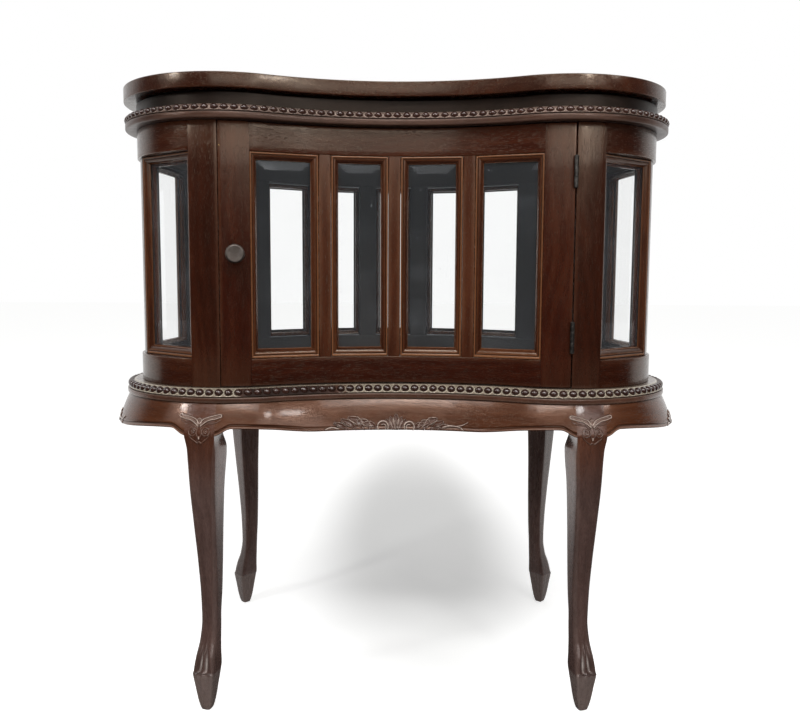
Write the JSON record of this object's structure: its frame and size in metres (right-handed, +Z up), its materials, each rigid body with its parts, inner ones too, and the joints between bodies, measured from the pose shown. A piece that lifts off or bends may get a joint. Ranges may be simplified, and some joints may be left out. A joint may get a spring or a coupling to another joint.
{
  "type": "china cabinet",
  "caption": "Kidney-shaped glazed china cabinet on cabriole legs, with one hinged door in the hollow front bay, beaded mouldings, a shaped apron and a round pull.",
  "frame": {"origin": "on the floor under the middle of the plan's bounding box", "axes": "+Z up, the door facing -Y, the hinge on the +X side of the door"},
  "size_m": [0.7462, 0.5029, 0.78],
  "materials": {
    "case_mahogany": "satin lacquered mahogany",
    "base_mahogany": "satin lacquered mahogany, a little greyer from wear",
    "window_glass": "clear plate glass with a ground bevel",
    "hinge_steel": "dark oxidised steel",
    "knob_bronze": "dull bronzed brass"
  },
  "bodies": {
    "cabinet": {"top_board": "case_mahogany", "frieze": "case_mahogany", "case_top": "case_mahogany", "case_floor": "case_mahogany", "case_top_rail": "case_mahogany", "case_bottom_rail": "case_mahogany", "front_post_right": "case_mahogany", "front_post_left": "case_mahogany", "back_post_right": "case_mahogany", "back_post_left": "case_mahogany", "side_stile_front_right": "case_mahogany", "side_stile_front_left": "case_mahogany", "side_stile_rear_right": "case_mahogany", "side_stile_rear_left": "case_mahogany", "back_stile_1": "case_mahogany", "back_stile_2": "case_mahogany", "back_stile_3": "case_mahogany", "back_stile_4": "case_mahogany", "apron_right": "base_mahogany", "apron_back": "base_mahogany", "apron_left": "base_mahogany", "apron_front": "base_mahogany", "leg_front_right": "base_mahogany", "leg_back_right": "base_mahogany", "leg_back_left": "base_mahogany", "leg_front_left": "base_mahogany", "side_glass_front_right": "window_glass", "side_glass_front_left": "window_glass", "side_glass_middle_right": "window_glass", "side_glass_middle_left": "window_glass", "side_glass_rear_right": "window_glass", "side_glass_rear_left": "window_glass", "back_glass_1": "window_glass", "back_glass_2": "window_glass", "back_glass_3": "window_glass", "back_glass_4": "window_glass", "back_glass_5": "window_glass", "hinge_post_leaf_upper": "hinge_steel", "hinge_post_leaf_lower": "hinge_steel", "magnetic_catch": "hinge_steel"},
    "door": {"door_stile_left": "case_mahogany", "door_stile_right": "case_mahogany", "door_top_rail": "case_mahogany", "door_bottom_rail": "case_mahogany", "door_muntin_1": "case_mahogany", "door_muntin_2": "case_mahogany", "door_muntin_3": "case_mahogany", "door_pane_frame_1": "case_mahogany", "door_pane_frame_2": "case_mahogany", "door_pane_frame_3": "case_mahogany", "door_pane_frame_4": "case_mahogany", "door_glass_1": "window_glass", "door_glass_2": "window_glass", "door_glass_3": "window_glass", "door_glass_4": "window_glass", "knob": "knob_bronze", "strike_plate": "hinge_steel", "hinge_door_leaf_upper": "hinge_steel", "hinge_door_leaf_lower": "hinge_steel"}
  },
  "joints": [
    {"name": "door_hinge", "type": "hinge", "parent": "cabinet", "child": "door", "pos_m": [0.21255, -0.223, 0.57], "axis": [0, 0, 1], "range_deg": [0, 170]}
  ]
}
